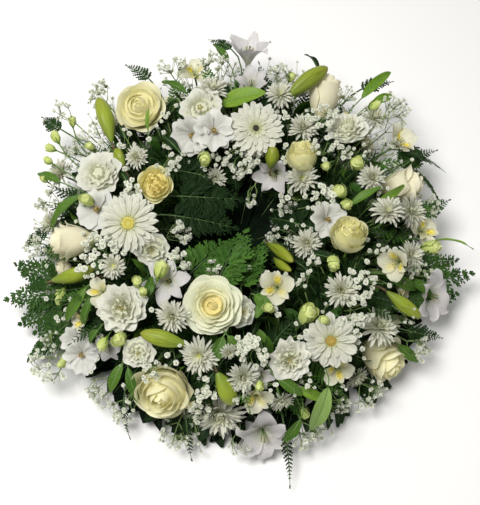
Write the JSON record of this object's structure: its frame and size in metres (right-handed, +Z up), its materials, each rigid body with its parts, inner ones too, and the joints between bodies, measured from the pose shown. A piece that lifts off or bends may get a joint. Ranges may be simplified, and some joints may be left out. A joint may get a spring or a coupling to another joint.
{
  "type": "funeral wreath",
  "caption": "Round funeral wreath of white and cream cut flowers, buds, fern and filler sprays pushed into a foam ring in a shallow black tray, lying flat.",
  "frame": {"origin": "middle of the whole wreath's plan box, at the ground plane", "axes": "+Z up out of the wreath's face as it lies flat; -Y towards the viewer's side, +X to the viewer's right"},
  "size_m": [0.6604, 0.6496, 0.1681],
  "materials": {
    "black_plastic": "moulded, slightly satin",
    "floral_foam": "fine open-cell wet foam, matte",
    "rose_petal": "soft velvety petal, cream to pale yellow",
    "white_petal": "soft translucent petal, white",
    "lily_petal": "satin petal, white with a faint lilac shade",
    "cream_petal": "soft petal, cream with yellow marks",
    "bud_green": "waxy ridged bud, yellow-green",
    "filler_white": "tiny papery florets, white",
    "fern_green": "leathery frond, dark green",
    "leaf_green": "satin leaf, mid green"
  },
  "bodies": {
    "root": {"tray": "black_plastic", "foam_ring": "floral_foam", "rose_1": "rose_petal", "rose_2": "rose_petal", "rose_3": "rose_petal", "rose_4": "rose_petal", "rose_5": "rose_petal", "rose_6": "rose_petal", "rose_7": "rose_petal", "rose_8": "rose_petal", "rose_9": "rose_petal", "rose_10": "rose_petal", "gerbera_1": "white_petal", "gerbera_2": "white_petal", "gerbera_3": "white_petal", "mum_2": "white_petal", "mum_3": "white_petal", "mum_6": "white_petal", "mum_8": "white_petal", "mum_9": "white_petal", "mum_10": "white_petal", "mum_11": "white_petal", "mum_13": "white_petal", "mum_14": "white_petal", "mum_15": "white_petal", "mum_17": "white_petal", "mum_19": "white_petal", "lisianthus_1": "white_petal", "lisianthus_2": "white_petal", "lisianthus_3": "white_petal", "lisianthus_4": "white_petal", "white_trumpet_1": "white_petal", "white_trumpet_2": "white_petal", "white_trumpet_3": "white_petal", "lily_1": "lily_petal", "lily_2": "lily_petal", "lily_3": "lily_petal", "lily_4": "lily_petal", "alstroemeria_1": "cream_petal", "alstroemeria_2": "cream_petal", "alstroemeria_3": "cream_petal", "alstroemeria_5": "cream_petal", "lily_bud_1": "bud_green", "lily_bud_2": "bud_green", "lily_bud_3": "bud_green", "lily_bud_4": "bud_green", "lily_bud_5": "bud_green", "lily_bud_6": "bud_green", "fern_1": "fern_green", "fern_2": "fern_green", "fern_3": "fern_green", "fern_4": "fern_green", "fern_5": "fern_green", "fern_6": "fern_green", "leaf_1": "leaf_green", "leaf_2": "leaf_green", "gypsophila_1": "filler_white", "gypsophila_2": "filler_white", "gypsophila_3": "filler_white", "gypsophila_4": "filler_white"}
  },
  "joints": []
}
